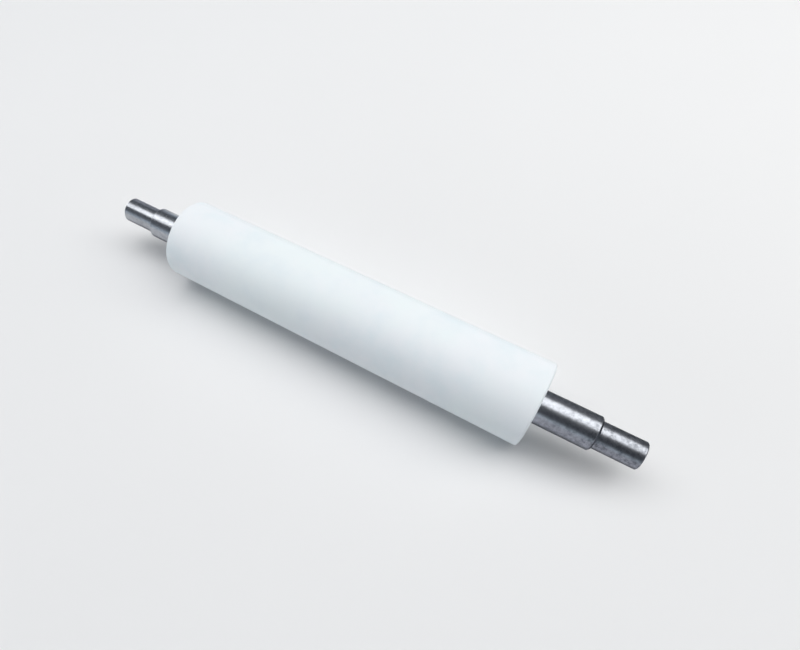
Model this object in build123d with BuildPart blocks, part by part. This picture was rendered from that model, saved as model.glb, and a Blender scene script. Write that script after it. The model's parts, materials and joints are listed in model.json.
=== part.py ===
"""Silicone covered roller for a packaging line: a turned steel bar with a thick bonded cover.

The roller lies along X, with Z up. The origin is on its axis, halfway along the bar. At each end a bare
shoulder stands out of the cover, then the bar steps down to a journal that turns in a bearing. The journals
are alike, and the shoulder is longer at the +X end, so the cover sits a little to the other side.
"""
import os
from math import radians, tan

from build123d import *

# Cover, in millimetres
cover_diameter = 50.0
cover_length = 240.0
cover_edge_radius = 1.5  # the end edges are broken, so that they don't lift or tear

# Bar
core_diameter = 20.0  # the bar under the cover, and the shoulders beside it
left_shoulder_length = 28.0  # from the cover's end face to the step
right_shoulder_length = 33.0
shoulder_chamfer = 1.0
journal_diameter = 16.0  # for a bearing with a 16 mm bore
journal_length = 24.0  # from the step to the bar's end
journal_chamfer = 0.5
root_radius = 0.4  # left in the corner of the step by the nose of the turning tool

# Centre holes, one in each end of the bar, which it was turned and ground between
centre_mouth_diameter = 5.3
centre_pilot_diameter = 2.5
centre_hole_depth = 5.5  # to the end of the pilot's straight wall
centre_cone_angle = 60.0
drill_point_angle = 120.0

# Places along the roller, measured from the middle of the bar
bar_length = cover_length + left_shoulder_length + right_shoulder_length + 2 * journal_length
bar_end = bar_length / 2
left_step = -bar_end + journal_length
right_step = bar_end - journal_length
cover_middle = left_step + left_shoulder_length + cover_length / 2

# Radii and depths that follow from the sizes above
cover_radius = cover_diameter / 2
core_radius = core_diameter / 2
cover_wall = cover_radius - core_radius
journal_radius = journal_diameter / 2
centre_mouth_radius = centre_mouth_diameter / 2
centre_pilot_radius = centre_pilot_diameter / 2
centre_cone_depth = (centre_mouth_radius - centre_pilot_radius) / tan(radians(centre_cone_angle / 2))
drill_point_depth = centre_pilot_radius / tan(radians(drill_point_angle / 2))


# Steel bar: the turned outline, from end to end, spun about the axis
with BuildPart() as steel_shaft:
    with BuildSketch(Plane.XZ) as turned_outline:
        with BuildLine():
            Polyline(
                (-bar_end, 0),
                (-bar_end, journal_radius),
                (left_step, journal_radius),
                (left_step, core_radius),
                (right_step, core_radius),
                (right_step, journal_radius),
                (bar_end, journal_radius),
                (bar_end, 0),
                close=True,
            )
        make_face()
        journal_corners = turned_outline.vertices().group_by(Axis.Y)[1].sort_by(Axis.X)
        fillet(journal_corners[1:3], radius=root_radius)
        shoulder_corners = turned_outline.vertices().group_by(Axis.Y)[-1]
        chamfer(shoulder_corners, length=shoulder_chamfer)
        left_end, right_end = (turned_outline.vertices().group_by(Axis.X)[end] for end in (0, -1))
        chamfer([left_end.sort_by(Axis.Y)[-1], right_end.sort_by(Axis.Y)[-1]], length=journal_chamfer)
    revolve(axis=Axis.X)

    # Centre hole: a cone for the lathe's centre, then a pilot with a drilled point
    with BuildSketch(Plane.XZ):
        with BuildLine():
            Polyline(
                (bar_end, 0),
                (bar_end, centre_mouth_radius),
                (bar_end - centre_cone_depth, centre_pilot_radius),
                (bar_end - centre_hole_depth, centre_pilot_radius),
                (bar_end - centre_hole_depth - drill_point_depth, 0),
                close=True,
            )
        make_face()
        mirror(about=Plane.YZ)
    revolve(axis=Axis.X, mode=Mode.SUBTRACT)


# Silicone cover: one thick sleeve, bonded to the bar all along its bore
with BuildPart() as silicone_cover:
    with BuildSketch(Plane.XZ) as wall_section:
        with Locations((cover_middle, core_radius)):
            Rectangle(cover_length, cover_wall, align=(Align.CENTER, Align.MIN))
        outer_corners = wall_section.vertices().group_by(Axis.Y)[-1]
        fillet(outer_corners, radius=cover_edge_radius)
    revolve(axis=Axis.X)


steel_shaft.part.label = "steel_shaft"
silicone_cover.part.label = "silicone_cover"

os.makedirs("parts", exist_ok=True)
export_step(steel_shaft.part, "parts/steel_shaft.step")
export_step(silicone_cover.part, "parts/silicone_cover.step")

print(f"overall length {bar_length:.1f} mm, cover {cover_diameter:.1f} x {cover_length:.1f} mm")
print(f"steel {steel_shaft.part.volume / 1000:.2f} cm3, silicone {silicone_cover.part.volume / 1000:.2f} cm3")
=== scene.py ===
# %% [markdown]
# # A silicone covered roller
# The roller feeds or presses film and labels in a packaging machine. It is a turned steel bar with a thick
# white silicone cover bonded round its middle. This lesson dresses the measured model of it: the shapes are
# spun again as fine meshes, the steel and the silicone get their finishes, and a soft light is set over them.
# Everything is in metres, in the frame of the measured model: the roller's axis is X, and Z is up.

# %% Load the measured model
import json
from math import atan2, cos, degrees, hypot, pi, radians, sin, tan

import bmesh
import bpy
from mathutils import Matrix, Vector


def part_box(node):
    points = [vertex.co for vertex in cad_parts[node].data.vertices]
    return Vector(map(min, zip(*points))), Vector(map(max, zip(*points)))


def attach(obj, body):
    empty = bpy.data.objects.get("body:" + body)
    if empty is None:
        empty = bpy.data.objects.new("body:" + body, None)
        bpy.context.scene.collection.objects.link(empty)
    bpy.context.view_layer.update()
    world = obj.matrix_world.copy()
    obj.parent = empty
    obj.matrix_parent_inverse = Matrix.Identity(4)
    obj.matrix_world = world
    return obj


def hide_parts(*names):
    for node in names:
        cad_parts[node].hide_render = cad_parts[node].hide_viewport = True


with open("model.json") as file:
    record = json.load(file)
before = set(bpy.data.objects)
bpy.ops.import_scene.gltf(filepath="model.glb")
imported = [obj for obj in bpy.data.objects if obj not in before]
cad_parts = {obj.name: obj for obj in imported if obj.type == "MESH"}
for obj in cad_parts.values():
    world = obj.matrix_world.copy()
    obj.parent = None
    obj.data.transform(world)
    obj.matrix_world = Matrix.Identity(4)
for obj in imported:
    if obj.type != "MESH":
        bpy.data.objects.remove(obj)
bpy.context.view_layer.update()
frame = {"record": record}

# %% [markdown]
# ## Sizes
# The main sizes are read from the measured model, so that the fine meshes land exactly on it: the pieces' boxes
# give lengths and radii, and the record's mounts give the journal and the step. Only the small sizes that
# neither of them tells, such as a chamfer, are written here.

# %% Read the main sizes from the frame
MM = 0.001
cover_low, cover_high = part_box("silicone_cover")
bar_low, bar_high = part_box("steel_shaft")
mounts = {mount["name"]: mount for mount in frame["record"]["mounts"]}

cover_left, cover_right = cover_low[0], cover_high[0]
cover_radius = cover_high[2]
bar_left, bar_right = bar_low[0], bar_high[0]
shoulder_radius = bar_high[2]
left_step = mounts["left_stop_face"]["pos_m"][0]
right_step = mounts["right_stop_face"]["pos_m"][0]
journal_radius = mounts["right_journal"]["dims"]["r_mm"] * MM

shoulder_chamfer = 1.0 * MM
journal_chamfer = 0.5 * MM
root_radius = 0.4 * MM
cover_edge_radius = 1.5 * MM
centre_mouth_radius = 2.65 * MM
centre_pilot_radius = 1.25 * MM
centre_hole_depth = 5.5 * MM
centre_cone_angle = radians(60)
drill_point_angle = radians(120)
print(f"cover {2 * cover_radius / MM:.2f} x {(cover_right - cover_left) / MM:.1f} mm")
print(f"bar {(bar_right - bar_left) / MM:.1f} mm long, {2 * shoulder_radius / MM:.2f} mm thick")
print(f"shoulders {(cover_left - left_step) / MM:.1f} and {(right_step - cover_right) / MM:.1f} mm long")
print(f"journals {2 * journal_radius / MM:.2f} mm thick and {(bar_right - right_step) / MM:.1f} mm long")

# %% [markdown]
# ## Camera
# The photo looks down steeply over the roller's near side, with its right end closer. A camera can be turned by
# angles or aimed at a point. Aiming is easier to read: the camera stands at one point and looks at another on
# the roller, and a tracking rotation keeps the horizon level. The short lens gives the strong perspective that
# makes the near end look larger. The roller was cut out and set off the photo's centre, so the lens is shifted
# by the same amount.

# %% Set the camera
camera_place = Vector((0.0951, -0.1697, 0.2696))
camera_aim = Vector((0.0087, -0.0256, 0.0))
camera_lens = 24.71  # mm, on a sensor 36 mm wide
camera_shift = (0.0730, 0.0343)  # shares of the picture's width

camera_data = bpy.data.cameras.new("studio_camera")
camera_data.lens = camera_lens
camera_data.sensor_width = 36.0
camera_data.shift_x, camera_data.shift_y = camera_shift
camera_data.clip_start = 0.01
camera = bpy.data.objects.new("studio_camera", camera_data)
camera.location = camera_place
camera.rotation_euler = (camera_aim - camera_place).to_track_quat("-Z", "Y").to_euler()
bpy.context.scene.collection.objects.link(camera)
bpy.context.scene.camera = camera
bpy.context.scene.view_settings.view_transform = "Standard"
look = camera_aim - camera_place
print(f"camera looks down {degrees(atan2(-look.z, hypot(look.x, look.y))):.1f} degrees from {look.length:.3f} m")

# %% [markdown]
# ## Sums on sockets
# Patterns and rules are sums on sockets, and a sum written with nodes is hard to read. A small class wraps one
# socket and overloads the operators, so that `1 - mask` adds the Math node by itself. A bench wraps the tree and
# makes any other node: its settings come first, because they can change the sockets, and its inputs follow.


# %% Wrap a socket and a node tree
class Wire:
    """One output socket. A sum on it adds the Math node that works it out."""

    def __init__(self, bench, socket):
        self.bench = bench
        self.socket = socket

    def math(self, operation, *values):
        return self.bench.node("ShaderNodeMath", {"operation": operation}, list(values))

    def __add__(self, other):
        return self.math("ADD", self, other)

    def __radd__(self, other):
        return self.math("ADD", other, self)

    def __sub__(self, other):
        return self.math("SUBTRACT", self, other)

    def __rsub__(self, other):
        return self.math("SUBTRACT", other, self)

    def __mul__(self, other):
        return self.math("MULTIPLY", self, other)

    def __rmul__(self, other):
        return self.math("MULTIPLY", other, self)

    def __truediv__(self, other):
        return self.math("DIVIDE", self, other)

    def __rtruediv__(self, other):
        return self.math("DIVIDE", other, self)

    def __neg__(self):
        return self.math("MULTIPLY", self, -1)

    def __abs__(self):
        return self.math("ABSOLUTE", self)

    def ramp(self, start, end):
        """0 below start and 1 above end, or the other way round, with a soft bend at both."""
        settings = {"interpolation_type": "SMOOTHSTEP"}
        return self.bench.node("ShaderNodeMapRange", settings, {"Value": self, "From Min": start, "From Max": end})


class Bench:
    """A node tree to work on."""

    def __init__(self, tree):
        self.tree = tree

    def node(self, kind, settings=None, inputs=None, output=0):
        """Adds a node, with its settings first and then its inputs, by place or by name, and returns an output."""
        node = self.tree.nodes.new(kind)
        for name, value in (settings or {}).items():
            setattr(node, name, value)
        named = inputs.items() if isinstance(inputs, dict) else enumerate(inputs or [])
        for key, value in named:
            if isinstance(value, Wire):
                self.tree.links.new(value.socket, node.inputs[key])
            else:
                node.inputs[key].default_value = value
        return Wire(self, node.outputs[output]) if node.outputs else None

    def vector(self, x, y, z):
        return self.node("ShaderNodeCombineXYZ", None, [x, y, z])

    def split(self, wire):
        """The three parts of a vector."""
        first = self.node("ShaderNodeSeparateXYZ", None, [wire])
        return [Wire(self, socket) for socket in first.socket.node.outputs]


# %% [markdown]
# ## Spinning an outline
# Both pieces are bodies of revolution: the bar came off a lathe, and the cover was moulded and ground round. One
# way is the Screw modifier on a drawn profile. Geometry Nodes keep the profile's sizes as named inputs, so that
# the same tree serves another size. A line gets one point for each corner of the outline, and a grid is then
# wrapped round the axis: its columns follow the outline's points, and its rows go once round.


# %% A tree with named inputs
def new_tree(name, sizes, geometry_in=False):
    """A geometry tree with a named number input for each size, and the wires of its inputs."""
    tree = bpy.data.node_groups.new(name, "GeometryNodeTree")
    if geometry_in:
        tree.interface.new_socket(name="Outline", in_out="INPUT", socket_type="NodeSocketGeometry")
    for label, kind in sizes.items():
        tree.interface.new_socket(name=label, in_out="INPUT", socket_type=kind)
    tree.interface.new_socket(name="Geometry", in_out="OUTPUT", socket_type="NodeSocketGeometry")
    bench = Bench(tree)
    entry = tree.nodes.new("NodeGroupInput")
    wires = {socket.name: Wire(bench, socket) for socket in entry.outputs if socket.name}
    return bench, wires


def close_tree(bench, wire):
    """Joins the last geometry to the tree's output."""
    end = bench.tree.nodes.new("NodeGroupOutput")
    bench.tree.links.new(wire.socket, end.inputs[0])
    return bench.tree


# %% The outline's points, and the spin
def outline(bench, corners):
    """A line whose points are the (along, radius) corners, in order."""
    line = bench.node("GeometryNodeCurvePrimitiveLine")
    line = bench.node("GeometryNodeResampleCurve", None, {"Curve": line, "Count": len(corners)})
    chooser = bench.tree.nodes.new("GeometryNodeIndexSwitch")
    chooser.data_type = "VECTOR"
    while len(chooser.index_switch_items) < len(corners):
        chooser.index_switch_items.new()
    index = bench.node("GeometryNodeInputIndex")
    bench.tree.links.new(index.socket, chooser.inputs[0])
    for place, (along, radius) in enumerate(corners):
        point = bench.vector(along, radius, 0.0)
        bench.tree.links.new(point.socket, chooser.inputs[place + 1])
    return bench.node("GeometryNodeSetPosition", None, {"Geometry": line, "Position": Wire(bench, chooser.outputs[0])})


def spin_tree():
    """Wraps a grid round the X axis: one column for each point of the outline."""
    bench, given = new_tree("spin_outline", {"Segments": "NodeSocketInt"}, geometry_in=True)
    count = bench.node("GeometryNodeAttributeDomainSize", {"component": "CURVE"}, [given["Outline"]])
    rows = given["Segments"] + 1
    grid = bench.node("GeometryNodeMeshGrid", None, {"Vertices X": count, "Vertices Y": rows})
    index = bench.node("GeometryNodeInputIndex")
    column = (index / rows).math("FLOOR", (index + 0.5) / rows)
    row = index - column * rows
    corner = bench.node("GeometryNodeSampleIndex", {"data_type": "FLOAT_VECTOR"},
                        {"Geometry": given["Outline"], "Value": bench.node("GeometryNodeInputPosition"), "Index": column})
    along, radius, _ = bench.split(corner)
    angle = row * (2 * pi) / given["Segments"]
    place = bench.vector(along, radius * angle.math("SINE", angle), radius * angle.math("COSINE", angle))
    spun = bench.node("GeometryNodeSetPosition", None, {"Geometry": grid, "Position": place})
    return close_tree(bench, spun)


spin = spin_tree()

# %% [markdown]
# The last row of the grid lies on the first, and the poles at the drilled points are rings of no size. Points
# that meet are merged, which closes the skin. Edges of more than 25 degrees stay crisp, and the rest is shaded
# smoothly.

# %% Close the skin and give it a material
MERGE_DISTANCE = 1e-6
CRISP_ANGLE = radians(25)


def spun_solid(bench, corners, segments, material):
    """Spins the outline's corners into one closed skin."""
    half = outline(bench, corners)
    spun = bench.node("GeometryNodeGroup", {"node_tree": spin}, {"Outline": half, "Segments": segments})
    closed = bench.node("GeometryNodeMergeByDistance", None, {"Geometry": spun, "Distance": MERGE_DISTANCE})
    smooth = bench.node("GeometryNodeSetShadeSmooth", {"domain": "FACE"}, {"Geometry": closed, "Shade Smooth": True})
    turn = bench.node("GeometryNodeInputMeshEdgeAngle")
    crisp = bench.node("FunctionNodeCompare", {"data_type": "FLOAT", "operation": "GREATER_THAN"},
                       [turn, CRISP_ANGLE])
    smooth = bench.node("GeometryNodeSetShadeSmooth", {"domain": "EDGE"},
                        {"Geometry": smooth, "Selection": crisp, "Shade Smooth": False})
    real = bench.node("GeometryNodeRealizeInstances", None, [smooth])
    return bench.node("GeometryNodeSetMaterial", None, {"Geometry": real, "Material": material})


def plain_mesh(name, tree, values):
    """Runs the tree with these inputs and keeps the result as an ordinary mesh."""
    piece = bpy.data.objects.new(name, bpy.data.meshes.new(name))
    bpy.context.scene.collection.objects.link(piece)
    modifier = piece.modifiers.new("turned", "NODES")
    modifier.node_group = tree
    for item in tree.interface.items_tree:
        if item.in_out == "INPUT":
            modifier[item.identifier] = values[item.name]
    graph = bpy.context.evaluated_depsgraph_get()
    mesh = bpy.data.meshes.new_from_object(piece.evaluated_get(graph))
    piece.modifiers.clear()
    piece.data = mesh
    mesh.name = name
    return piece


def measure(piece):
    """Turns the faces outwards if need be, and prints faces, open edges and volume."""
    work = bmesh.new()
    work.from_mesh(piece.data)
    open_edges = sum(1 for edge in work.edges if len(edge.link_faces) != 2)
    volume = work.calc_volume(signed=True)
    if volume < 0:
        bmesh.ops.reverse_faces(work, faces=work.faces)
        work.to_mesh(piece.data)
    work.free()
    print(f"{piece.name}: {len(piece.data.polygons)} faces, {open_edges} open edges, volume {volume * 1e6:.2f} cm3")


# %% [markdown]
# ## Finish of the steel
# The bare ends are turned mild steel: fine rings from the tool, a dull blue grey tone, cloudy patches where oil
# dried, a mottled grain and a few dark specks. An image texture could show this, but a node pattern stays sharp
# at any distance. Rings are noise that changes only along the axis. Specks are small cells of a Voronoi pattern,
# and only some of the cells are used. Painted shade darkens each shoulder's chamfer and the corner behind it,
# which draws the thin dark line at the step.

# %% Tools for a finish


def new_material(name):
    """A material with an empty tree, its bench and its Object coordinates."""
    material = bpy.data.materials.new(name)
    material.use_nodes = True
    material.node_tree.nodes.clear()
    bench = Bench(material.node_tree)
    return material, bench, bench.node("ShaderNodeTexCoord", None, None, "Object")


def noise(bench, place, scale, detail, roughness):
    """Noise in space, from about 0.3 to 0.7."""
    return bench.node("ShaderNodeTexNoise", None,
                      {"Vector": place, "Scale": scale, "Detail": detail, "Roughness": roughness})


def rings_along(bench, along, density, detail, roughness):
    """Noise that changes only along the axis, so that it draws rings."""
    return bench.node("ShaderNodeTexNoise", {"noise_dimensions": "1D"},
                      {"W": along * density, "Scale": 1.0, "Detail": detail, "Roughness": roughness})


def mix_colour(bench, share, first, second):
    return bench.node("ShaderNodeMix", {"data_type": "RGBA"}, {0: share, 6: first, 7: second}, 2)


def scale_colour(bench, colour, factor):
    return bench.node("ShaderNodeVectorMath", {"operation": "SCALE"}, {"Vector": colour, "Scale": factor})


def surface(bench, material, values):
    """Adds the shader with these values and joins it to the material's output."""
    shader = bench.node("ShaderNodeBsdfPrincipled", None, values)
    bench.node("ShaderNodeOutputMaterial", None, {"Surface": shader})
    return material


# %% Turned steel
steel_colour = (0.445, 0.462, 0.492, 1.0)
stain_and_step_shade_colour = (0.150, 0.158, 0.176, 1.0)
ring_density = 1400.0  # rings in a metre
fine_ring_density = 5200.0
cloud_density = 150.0
mottle_density = 420.0
grain_density = 1100.0
speck_density = 520.0
# where the painted shade at each step starts, measured out from the step
step_shade_start = 0.75 * MM
soft_edge = 0.20 * MM


def painted_step_shade(along, step, side):
    """Painted shade: 1 on most of a shoulder's chamfer and in the corner behind it, and 0 elsewhere."""
    outward = (along - step) * side
    return outward.ramp(-step_shade_start - soft_edge, -step_shade_start) * outward.ramp(root_radius, root_radius - soft_edge)


def turned_steel():
    material, bench, place = new_material("turned_steel_finish")
    along, across, up = bench.split(place)
    rings = rings_along(bench, along, ring_density, 3.0, 0.6)
    fine_rings = rings_along(bench, along, fine_ring_density, 2.0, 0.7)
    cloud = noise(bench, place, cloud_density, 4.0, 0.6)
    mottle = noise(bench, place, mottle_density, 4.0, 0.6)
    grain = noise(bench, place, grain_density, 3.0, 0.65)
    smears = noise(bench, bench.vector(along * 60.0, across * 260.0, up * 260.0), 1.0, 4.0, 0.7)
    cells = bench.node("ShaderNodeTexVoronoi", None, {"Vector": place, "Scale": speck_density})
    cell_choice = bench.split(Wire(bench, cells.socket.node.outputs["Color"]))[0]
    specks = cells.ramp(0.34, 0.14) * cell_choice.ramp(0.78, 0.86)

    right_end = along.ramp(cover_left, cover_right)  # the right end has dulled more than the left
    worn_end = along.ramp(cover_right - 10 * MM, right_step)
    blotches = mottle.ramp(0.38, 0.70) * (0.18 + worn_end * 0.40) + grain.ramp(0.40, 0.68) * (0.08 + worn_end * 0.14)
    handled = along.ramp(right_step, right_step + 2 * MM) * 0.12
    patches = cloud.ramp(0.50, 0.68) * (0.16 + worn_end * 0.20) + handled
    stains_and_step_shade = blotches + patches + smears.ramp(0.48, 0.72) * (0.30 - right_end * 0.1) + specks * 0.25
    # painted shade on the shoulders' chamfers and in the corners behind them, mixed in with the real stains
    step_shade_mask = painted_step_shade(along, right_step, 1) + painted_step_shade(along, left_step, -1)
    stains_and_step_shade = (stains_and_step_shade + step_shade_mask * 1.1).math("MINIMUM", stains_and_step_shade + step_shade_mask * 1.1, 1.0)

    colour = mix_colour(bench, stains_and_step_shade, steel_colour, stain_and_step_shade_colour)
    # the last factor darkens the painted shade at the steps further
    colour = scale_colour(bench, colour, (0.90 + rings * 0.12 + fine_rings * 0.08) * (1 - step_shade_mask * 0.25))
    roughness = 0.22 + right_end * 0.05 + rings * 0.04 + stains_and_step_shade * 0.08
    height = fine_rings * 0.4 + rings * 0.3 + grain * 0.3
    bump = bench.node("ShaderNodeBump", None, {"Height": height, "Strength": 0.18, "Distance": 0.00008})
    return surface(bench, material,
                   {"Base Color": colour, "Metallic": 1.0, "Roughness": roughness, "Normal": bump})


steel = turned_steel()
print("steel finish has", len(steel.node_tree.nodes), "nodes")

# %% [markdown]
# ## Finish of the silicone
# White silicone rubber is matt and a little milky: light goes in a short way and comes out again, which softens
# the shadow side. Subsurface scattering does that. The surface was ground with a stone, so it has very fine
# rings, and a faint mottling keeps it from looking like plastic.

# %% White silicone
silicone_colour = (0.868, 0.926, 0.940, 1.0)
silicone_cloud_colour = (0.882, 0.914, 0.944, 1.0)
silicone_shade_colour = (0.820, 0.888, 0.920, 1.0)
grind_density = 2600.0
mottle_density = 38.0
tint_density = 22.0
pore_density = 1500.0


def white_silicone():
    material, bench, place = new_material("white_silicone_finish")
    along = bench.split(place)[0]
    grinding = rings_along(bench, along, grind_density, 2.0, 0.6)
    mottling = noise(bench, place, mottle_density, 4.0, 0.6)
    tint = noise(bench, place, tint_density, 2.0, 0.5)
    pores = noise(bench, place, pore_density, 2.0, 0.5)
    colour = mix_colour(bench, tint.ramp(0.40, 0.62), silicone_colour, silicone_cloud_colour)
    colour = mix_colour(bench, mottling.ramp(0.42, 0.78), colour, silicone_shade_colour)
    roughness = 0.52 + mottling * 0.10 + pores * 0.05
    height = grinding * 0.5 + pores * 0.5
    bump = bench.node("ShaderNodeBump", None, {"Height": height, "Strength": 0.12, "Distance": 0.0001})
    return surface(bench, material,
                   {"Base Color": colour, "Roughness": roughness, "Normal": bump, "Specular IOR Level": 0.35,
                    "Subsurface Weight": 0.25, "Subsurface Scale": 0.004, "Subsurface Radius": (0.9, 1.0, 1.0)})


silicone = white_silicone()
print("silicone finish has", len(silicone.node_tree.nodes), "nodes")

# %% [markdown]
# ## The turned bar
# The bar was turned between centres from 20 mm stock. From the cover outwards each end has the bare shoulder with
# its chamfer, the step with a small root radius that the tool's nose leaves, the journal with its end chamfer,
# and a centre hole in the end face. One function gives the corners of either end, as sums of the tree's named
# inputs, and the left end's corners in reverse order lead to the right end's.

# %% Outline of the bar
BAR_SIZES = ["Left end", "Left step", "Right step", "Right end", "Shoulder radius", "Journal radius",
             "Shoulder chamfer", "Journal chamfer", "Root radius", "Mouth radius", "Pilot radius", "Cone depth",
             "Hole depth", "Point depth"]
ROOT_STEPS = 6
HOLD_LOOP = 0.3 * MM  # a ring this close to a bend keeps the long faces straight


def end_corners(given, step, end, side):
    """The corners of one end, from the shoulder out to the drilled point. The side is 1 or -1."""
    shoulder, journal, root = given["Shoulder radius"], given["Journal radius"], given["Root radius"]
    shoulder_cut, journal_cut = given["Shoulder chamfer"], given["Journal chamfer"]
    hole_end = end - given["Hole depth"] * side
    corners = [
        (step - (shoulder_cut + HOLD_LOOP) * side, shoulder),
        (step - shoulder_cut * side, shoulder),
        (step, shoulder - shoulder_cut),
    ]
    for turn in range(ROOT_STEPS + 1):
        angle = radians(90) * turn / ROOT_STEPS
        corners.append((step + root * (side * (1 - cos(angle))), journal + root * (1 - sin(angle))))
    corners += [
        (step + (root + HOLD_LOOP) * side, journal),
        (end - (journal_cut + HOLD_LOOP) * side, journal),
        (end - journal_cut * side, journal),
        (end, journal - journal_cut),
        (end, given["Mouth radius"]),
        (end - given["Cone depth"] * side, given["Pilot radius"]),
        (hole_end, given["Pilot radius"]),
        (hole_end - given["Point depth"] * side, 0.0),
    ]
    return corners


def bar_tree(material):
    sizes = {label: "NodeSocketFloat" for label in BAR_SIZES}
    sizes["Segments"] = "NodeSocketInt"
    bench, given = new_tree("turned_bar", sizes)
    left = end_corners(given, given["Left step"], given["Left end"], -1)
    right = end_corners(given, given["Right step"], given["Right end"], 1)
    return close_tree(bench, spun_solid(bench, left[::-1] + right, given["Segments"], material))


# %% Spin the bar
bar = plain_mesh("turned_bar", bar_tree(steel), {
    "Left end": bar_left,
    "Left step": left_step,
    "Right step": right_step,
    "Right end": bar_right,
    "Shoulder radius": shoulder_radius,
    "Journal radius": journal_radius,
    "Shoulder chamfer": shoulder_chamfer,
    "Journal chamfer": journal_chamfer,
    "Root radius": root_radius,
    "Mouth radius": centre_mouth_radius,
    "Pilot radius": centre_pilot_radius,
    "Cone depth": (centre_mouth_radius - centre_pilot_radius) / tan(centre_cone_angle / 2),
    "Hole depth": centre_hole_depth,
    "Point depth": centre_pilot_radius / tan(drill_point_angle / 2),
    "Segments": 192,
})
measure(bar)

# %% [markdown]
# ## The silicone cover
# The cover is one thick sleeve, bonded to the bar along its whole bore. Its end edges are rounded, so that they
# don't lift or tear. The same spin makes it: the outline runs up one end face, round the edge, along the outside,
# down the other end face and back along the bore to its start.

# %% Outline of the cover
COVER_SIZES = ["Left", "Right", "Cover radius", "Bore radius", "Edge radius"]
EDGE_STEPS = 12


def cover_corners(given, end, side):
    """The corners of one end of the cover, from the bore out to the straight outside."""
    outside, edge = given["Cover radius"], given["Edge radius"]
    corners = [(end, given["Bore radius"]), (end, outside - edge - HOLD_LOOP)]
    for turn in range(EDGE_STEPS + 1):
        angle = radians(90) * turn / EDGE_STEPS
        corners.append((end - edge * (side * (1 - cos(angle))), outside - edge * (1 - sin(angle))))
    return corners + [(end - (edge + HOLD_LOOP) * side, outside)]


def cover_tree(material):
    sizes = {label: "NodeSocketFloat" for label in COVER_SIZES}
    sizes["Segments"] = "NodeSocketInt"
    bench, given = new_tree("moulded_cover", sizes)
    left = cover_corners(given, given["Left"], -1)
    right = cover_corners(given, given["Right"], 1)
    ring = left + right[::-1] + left[:1]
    return close_tree(bench, spun_solid(bench, ring, given["Segments"], material))


# %% Spin the cover
cover = plain_mesh("moulded_cover", cover_tree(silicone), {
    "Left": cover_left,
    "Right": cover_right,
    "Cover radius": cover_radius,
    "Bore radius": shoulder_radius,
    "Edge radius": cover_edge_radius,
    "Segments": 256,
})
measure(cover)

# %% [markdown]
# ## Join the pieces to the frame
# Both pieces stand for the measured solids, which are hidden, and ride on the only body.

# %% Ride on the body and hide the measured solids
for piece, node, slot in ((bar, "steel_shaft", "turned_steel"), (cover, "silicone_cover", "white_silicone")):
    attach(piece, "root")
    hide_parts(node)

# %% [markdown]
# ## Floor, light and surroundings
# The roller lies on a pale floor. Steel looks like what it mirrors, so the light is planned from its reflections:
# the bright band comes from one large soft light overhead, and the dark bands beside it come from dim
# surroundings. The world is pale near the horizon, as the low part of a studio's backdrop, and dim higher up,
# though less dim to the left. Photographers also set cards beside a shiny thing, so that it has something dark
# to mirror. The "black" card is really dark grey: it runs under the roller and folds up close behind it, which
# darkens the bar's two edges. A grey card on the floor dulls the near side of the right end, and a paler card
# stands behind the left end. Only reflections see the cards: they throw no shadow and the camera looks through
# them. The floor looks pale to the camera and to reflections, but throws back a little less light than that,
# so that the underside of the cover isn't washed out.

# %% Pale floor
floor_radius = 1.6
floor_sides = 96
floor_bounce = 0.78


def matt_finish(name, first, second, bounce=1.0):
    """A matt finish that drifts between two colours. Bounce is the share of them that lights other things."""
    material, bench, place = new_material(name)
    colour = mix_colour(bench, noise(bench, place, 3.0, 3.0, 0.6), first, second)
    seen = sum(bench.node("ShaderNodeLightPath", None, None, "Is %s Ray" % kind)
               for kind in ("Camera", "Glossy", "Transmission"))
    colour = mix_colour(bench, seen, scale_colour(bench, colour, bounce), colour)
    return surface(bench, material, {"Base Color": colour, "Roughness": 0.8, "Specular IOR Level": 0.0})


work = bmesh.new()
bmesh.ops.create_circle(work, cap_ends=True, segments=floor_sides, radius=floor_radius)
bmesh.ops.translate(work, verts=work.verts, vec=(0.0, 0.0, -cover_radius))
floor_mesh = bpy.data.meshes.new("floor")
work.to_mesh(floor_mesh)
work.free()
floor = bpy.data.objects.new("floor", floor_mesh)
floor.data.materials.append(matt_finish("pale_floor", (0.846, 0.847, 0.848, 1.0), (0.874, 0.875, 0.876, 1.0),
                                        floor_bounce))
bpy.context.scene.collection.objects.link(floor)

# %% Cards that only reflections see
card_lift = 0.5 * MM


def reflection_card(name, corners, grey):
    """A card folded along these pairs of corners, which neither the camera nor the light sees."""
    mesh = bpy.data.meshes.new(name)
    folds = range(0, len(corners) - 2, 2)
    mesh.from_pydata(corners, [], [(first, first + 1, first + 3, first + 2) for first in folds])
    card = bpy.data.objects.new(name, mesh)
    card.data.materials.append(matt_finish(name, (grey, grey, grey * 1.05, 1.0), (grey * 0.9, grey * 0.9, grey, 1.0)))
    card.visible_camera = False
    card.visible_diffuse = False
    card.visible_transmission = False
    card.visible_shadow = False
    bpy.context.scene.collection.objects.link(card)


card_foot = card_lift - cover_radius
black_card_foot_left = -0.22
black_card_left, black_card_right = -0.15, 0.45
black_card_front, black_card_back = -0.016, 0.060
black_card_top = 0.045
reflection_card("black_card", [
    (black_card_foot_left, black_card_front, card_foot),
    (black_card_right, black_card_front, card_foot),
    (black_card_left, black_card_back, card_foot),
    (black_card_right, black_card_back, card_foot),
    (black_card_left, black_card_back, black_card_top),
    (black_card_right, black_card_back, black_card_top),
], 0.32)

pale_card_left, pale_card_right = -0.40, -0.19
pale_card_top = 0.030
reflection_card("pale_card", [
    (pale_card_left, black_card_back, card_foot),
    (pale_card_right, black_card_back, card_foot),
    (pale_card_left, black_card_back, pale_card_top),
    (pale_card_right, black_card_back, pale_card_top),
], 0.70)

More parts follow.
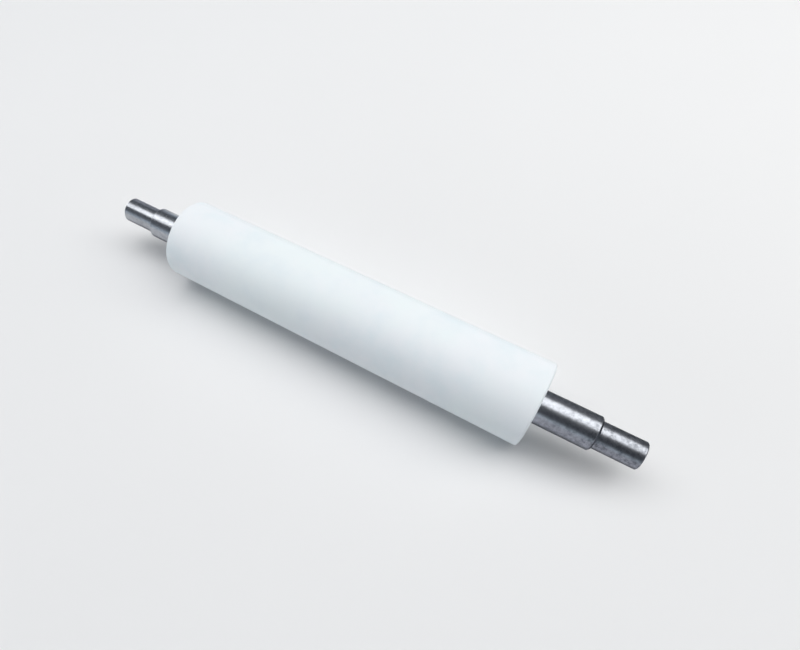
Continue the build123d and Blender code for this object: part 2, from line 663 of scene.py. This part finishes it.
grey_card_left, grey_card_right = 0.06, 0.70
grey_card_front = -0.60
reflection_card("grey_card", [
    (grey_card_left, grey_card_front, card_foot),
    (grey_card_right, grey_card_front, card_foot),
    (grey_card_left, black_card_front, card_foot),
    (grey_card_right, black_card_front, card_foot),
], 0.66)

# %% Overhead soft light
lamp_place = Vector((0.67, 0.79, 2.0))
lamp_size = (7.1, 1.90)
lamp_turn = radians(24.7)
lamp_radiance = 2.42


def soft_lamp(name, place, size, facing, radiance):
    """An elliptical soft light, as bright as told all over."""
    data = bpy.data.lights.new(name, "AREA")
    data.shape = "ELLIPSE"
    data.size, data.size_y = size
    data.energy = radiance * pi * (pi / 4) * size[0] * size[1]
    lamp = bpy.data.objects.new(name, data)
    lamp.location = place
    lamp.rotation_euler = facing
    bpy.context.scene.collection.objects.link(lamp)
    print(f"{name}: {data.energy:.0f} W")
    return lamp


soft_lamp("overhead_softbox", lamp_place, lamp_size, (0.0, 0.0, lamp_turn), lamp_radiance)

# %% [markdown]
# ## Weak fill lights
# The overhead light leaves the cover's lower near side too dark. A brighter world would lift it, but the steel
# would mirror that too and lose its dark bands. Two weak lamps do it instead, one low in front to the left and
# a slightly warm one behind to the right. Reflections and the camera don't see them.

# %% Front and back fill
fill_lamps = (
    ("front_fill", Vector((-0.68, -0.86, 0.21)), (0.80, 0.42), 1.62, (1.0, 1.0, 1.0)),
    ("back_fill", Vector((0.75, 0.62, 0.60)), (0.50, 0.50), 1.0, (1.0, 0.88, 0.66)),
)

for name, place, size, radiance, tone in fill_lamps:
    fill = soft_lamp(name, place, size, (-place).to_track_quat("-Z", "Y").to_euler(), radiance)
    fill.data.color = tone
    fill.visible_camera = False
    fill.visible_glossy = False

# %% Dim surroundings with a pale horizon
horizon_colour = (0.71, 0.80, 0.885, 1.0)
upper_colour = (0.046, 0.052, 0.064, 1.0)
left_upper_colour = (0.120, 0.132, 0.150, 1.0)

world = bpy.data.worlds.new("studio")
world.use_nodes = True
world.node_tree.nodes.clear()
bench = Bench(world.node_tree)
sideways, _, height = bench.split(bench.node("ShaderNodeTexCoord", None, None, "Generated"))
upper = mix_colour(bench, sideways.ramp(0.0, -0.6), upper_colour, left_upper_colour)
tone = mix_colour(bench, height.ramp(sin(radians(4)), sin(radians(24))), horizon_colour, upper)
sky = bench.node("ShaderNodeBackground", None, {"Color": tone, "Strength": 1.0})
bench.node("ShaderNodeOutputWorld", None, {"Surface": sky})
bpy.context.scene.world = world
